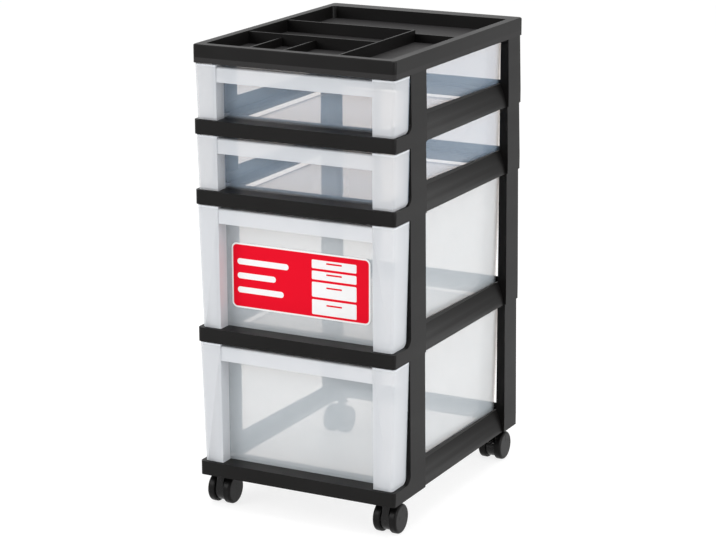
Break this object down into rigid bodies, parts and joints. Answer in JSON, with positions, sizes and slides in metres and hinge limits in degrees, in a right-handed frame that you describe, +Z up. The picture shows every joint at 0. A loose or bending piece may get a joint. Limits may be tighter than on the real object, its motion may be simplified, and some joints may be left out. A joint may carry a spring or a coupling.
{
  "type": "rolling plastic drawer tower",
  "caption": "Narrow rolling storage tower of stacked black plastic tiers with clear sliding drawers, a divided tray on top and small swivel casters.",
  "frame": {"origin": "on the floor under the middle of the tower", "axes": "+X to the right seen from the front, +Y to the back, +Z up; the drawers open towards -Y"},
  "size_m": [0.305, 0.406, 0.657],
  "materials": {
    "frame_black": "fine satin texture, moulded black",
    "drawer_clear": "translucent, smooth panel and frosted pillars",
    "label_red": "printed film, semi-gloss",
    "steel": "zinc-plated, turned",
    "caster_black": "smooth satin nylon"
  },
  "bodies": {
    "cart_frame": {"organizer_tray": "frame_black", "tier_frame_1": "frame_black", "tier_frame_2": "frame_black", "tier_frame_3": "frame_black", "tier_frame_4": "frame_black", "socket_fl": "frame_black", "socket_fr": "frame_black", "socket_rl": "frame_black", "socket_rr": "frame_black"},
    "drawer_1": {"drawer_1": "drawer_clear"},
    "drawer_2": {"drawer_2": "drawer_clear"},
    "drawer_3": {"drawer_3": "drawer_clear", "label": "label_red"},
    "drawer_4": {"drawer_4": "drawer_clear"},
    "caster_fl": {"stem_fl": "steel", "hood_fl": "caster_black", "axle_fl": "steel"},
    "wheel_left_fl": {"wheel_left_fl": "caster_black"},
    "wheel_right_fl": {"wheel_right_fl": "caster_black"},
    "caster_fr": {"stem_fr": "steel", "hood_fr": "caster_black", "axle_fr": "steel"},
    "wheel_left_fr": {"wheel_left_fr": "caster_black"},
    "wheel_right_fr": {"wheel_right_fr": "caster_black"},
    "caster_rl": {"stem_rl": "steel", "hood_rl": "caster_black", "axle_rl": "steel"},
    "wheel_left_rl": {"wheel_left_rl": "caster_black"},
    "wheel_right_rl": {"wheel_right_rl": "caster_black"},
    "caster_rr": {"stem_rr": "steel", "hood_rr": "caster_black", "axle_rr": "steel"},
    "wheel_left_rr": {"wheel_left_rr": "caster_black"},
    "wheel_right_rr": {"wheel_right_rr": "caster_black"}
  },
  "joints": [
    {"name": "drawer_1_slide", "type": "slide", "parent": "cart_frame", "child": "drawer_1", "axis": [0, -1, 0], "range_m": [0, 0.28]},
    {"name": "drawer_2_slide", "type": "slide", "parent": "cart_frame", "child": "drawer_2", "axis": [0, -1, 0], "range_m": [0, 0.28]},
    {"name": "drawer_3_slide", "type": "slide", "parent": "cart_frame", "child": "drawer_3", "axis": [0, -1, 0], "range_m": [0, 0.28]},
    {"name": "drawer_4_slide", "type": "slide", "parent": "cart_frame", "child": "drawer_4", "axis": [0, -1, 0], "range_m": [0, 0.28]},
    {"name": "caster_fl_swivel", "type": "hinge", "parent": "cart_frame", "child": "caster_fl", "pos_m": [-0.1305, -0.181, 0.046], "axis": [0, 0, 1], "continuous": true},
    {"name": "wheel_left_fl_spin", "type": "hinge", "parent": "caster_fl", "child": "wheel_left_fl", "pos_m": [-0.1305, -0.172, 0.021], "axis": [1, 0, 0], "continuous": true},
    {"name": "wheel_right_fl_spin", "type": "hinge", "parent": "caster_fl", "child": "wheel_right_fl", "pos_m": [-0.1305, -0.172, 0.021], "axis": [1, 0, 0], "continuous": true},
    {"name": "caster_fr_swivel", "type": "hinge", "parent": "cart_frame", "child": "caster_fr", "pos_m": [0.1305, -0.181, 0.046], "axis": [0, 0, 1], "continuous": true},
    {"name": "wheel_left_fr_spin", "type": "hinge", "parent": "caster_fr", "child": "wheel_left_fr", "pos_m": [0.1305, -0.172, 0.021], "axis": [1, 0, 0], "continuous": true},
    {"name": "wheel_right_fr_spin", "type": "hinge", "parent": "caster_fr", "child": "wheel_right_fr", "pos_m": [0.1305, -0.172, 0.021], "axis": [1, 0, 0], "continuous": true},
    {"name": "caster_rl_swivel", "type": "hinge", "parent": "cart_frame", "child": "caster_rl", "pos_m": [-0.1305, 0.181, 0.046], "axis": [0, 0, 1], "continuous": true},
    {"name": "wheel_left_rl_spin", "type": "hinge", "parent": "caster_rl", "child": "wheel_left_rl", "pos_m": [-0.1305, 0.172, 0.021], "axis": [1, 0, 0], "continuous": true},
    {"name": "wheel_right_rl_spin", "type": "hinge", "parent": "caster_rl", "child": "wheel_right_rl", "pos_m": [-0.1305, 0.172, 0.021], "axis": [1, 0, 0], "continuous": true},
    {"name": "caster_rr_swivel", "type": "hinge", "parent": "cart_frame", "child": "caster_rr", "pos_m": [0.1305, 0.181, 0.046], "axis": [0, 0, 1], "continuous": true},
    {"name": "wheel_left_rr_spin", "type": "hinge", "parent": "caster_rr", "child": "wheel_left_rr", "pos_m": [0.1305, 0.172, 0.021], "axis": [1, 0, 0], "continuous": true},
    {"name": "wheel_right_rr_spin", "type": "hinge", "parent": "caster_rr", "child": "wheel_right_rr", "pos_m": [0.1305, 0.172, 0.021], "axis": [1, 0, 0], "continuous": true}
  ]
}
